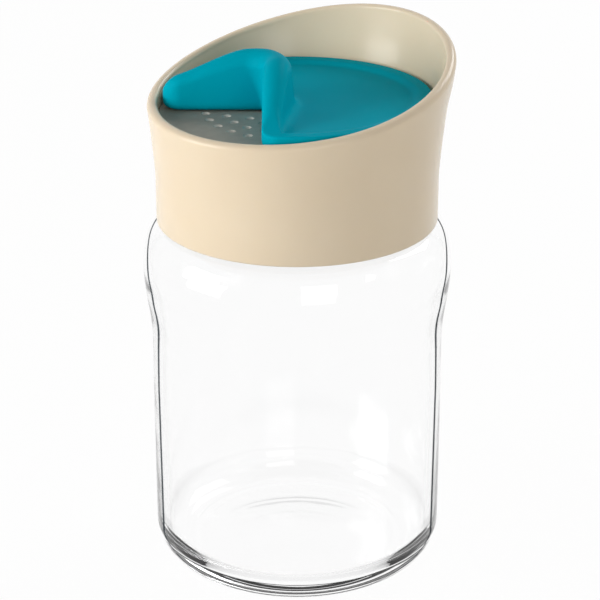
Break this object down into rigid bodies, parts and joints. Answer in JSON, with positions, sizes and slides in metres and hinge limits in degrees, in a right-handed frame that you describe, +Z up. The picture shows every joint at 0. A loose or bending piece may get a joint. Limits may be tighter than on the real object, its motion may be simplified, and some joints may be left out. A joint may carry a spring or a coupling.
{
  "type": "salt shaker",
  "caption": "Round glass shaker with a screw cap: slanted open collar over a perforated plate, and a turning dial with a finger fin whose corner notch bares or covers the holes.",
  "frame": {"origin": "centre of the jar's foot, on the table", "axes": "+Z up along the jar's axis, -Y towards the low, pouring side of the collar's rim, +X to its right"},
  "size_m": [0.0701, 0.0704, 0.1249],
  "materials": {
    "jar_glass": "clear pressed glass, fire polished",
    "gasket_rubber": "translucent white silicone, matte",
    "insert_plastic": "natural white polypropylene",
    "collar_plastic": "cream, gloss moulded",
    "plate_plastic": "grey, fine matte",
    "dial_plastic": "teal, satin gloss",
    "spring_steel": "stainless spring strip",
    "washer_steel": "stainless, blanked",
    "screw_steel": "stainless"
  },
  "bodies": {
    "jar": {"glass_jar": "jar_glass"},
    "gasket": {"jar_gasket": "gasket_rubber"},
    "cap": {"thread_insert": "insert_plastic", "collar_shell": "collar_plastic", "sifter_plate": "plate_plastic"},
    "dial": {"dial": "dial_plastic", "spring_washer": "spring_steel", "retaining_washer": "washer_steel", "pivot_screw": "screw_steel"}
  },
  "joints": [
    {"name": "cap_lift", "type": "slide", "parent": "jar", "child": "gasket", "axis": [0, 0, 1], "range_m": [0, 0.018]},
    {"name": "cap_turn", "type": "hinge", "parent": "gasket", "child": "cap", "pos_m": [0, 0, 0.095], "axis": [0, 0, 1], "range_deg": [0, 1440]},
    {"name": "dial_turn", "type": "hinge", "parent": "cap", "child": "dial", "pos_m": [0, 0, 0.108], "axis": [0, 0, 1], "range_deg": [0, 90]}
  ],
  "couplings": [
    {"joint": "cap_lift", "follows": "cap_turn", "m_per_rad": 0.00071619}
  ]
}
